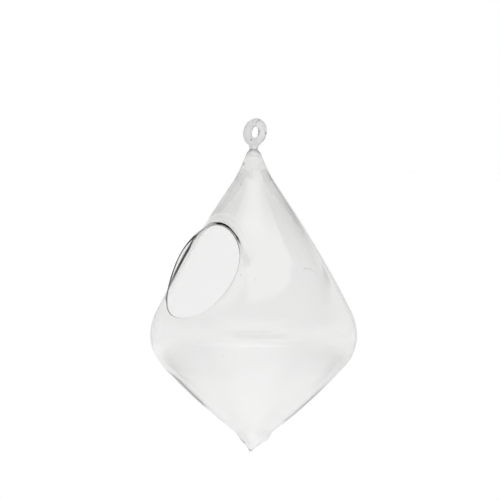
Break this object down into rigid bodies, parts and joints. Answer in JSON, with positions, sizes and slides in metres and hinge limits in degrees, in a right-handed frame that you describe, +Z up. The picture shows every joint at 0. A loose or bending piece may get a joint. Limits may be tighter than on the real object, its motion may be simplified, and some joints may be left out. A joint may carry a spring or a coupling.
{
  "type": "hanging glass propagation vase",
  "caption": "Clear blown-glass hanging vase in a rounded diamond form, with a rod eye on top to hang it by and a round lipped opening in one side for rooting cuttings in water.",
  "frame": {"origin": "centre of the bore of the hanging eye", "axes": "+Z up along the axis of the vase, +X along the bore of the hanging eye, and the side opening faces -Y, leaning up"},
  "size_m": [0.1, 0.1, 0.1619],
  "materials": {
    "clear_glass": "polished"
  },
  "bodies": {
    "root": {"hanging_ring": "clear_glass", "ring_foot": "clear_glass", "neck_knob": "clear_glass", "glass_body": "clear_glass", "opening_lip": "clear_glass", "tail_tip": "clear_glass"}
  },
  "joints": []
}
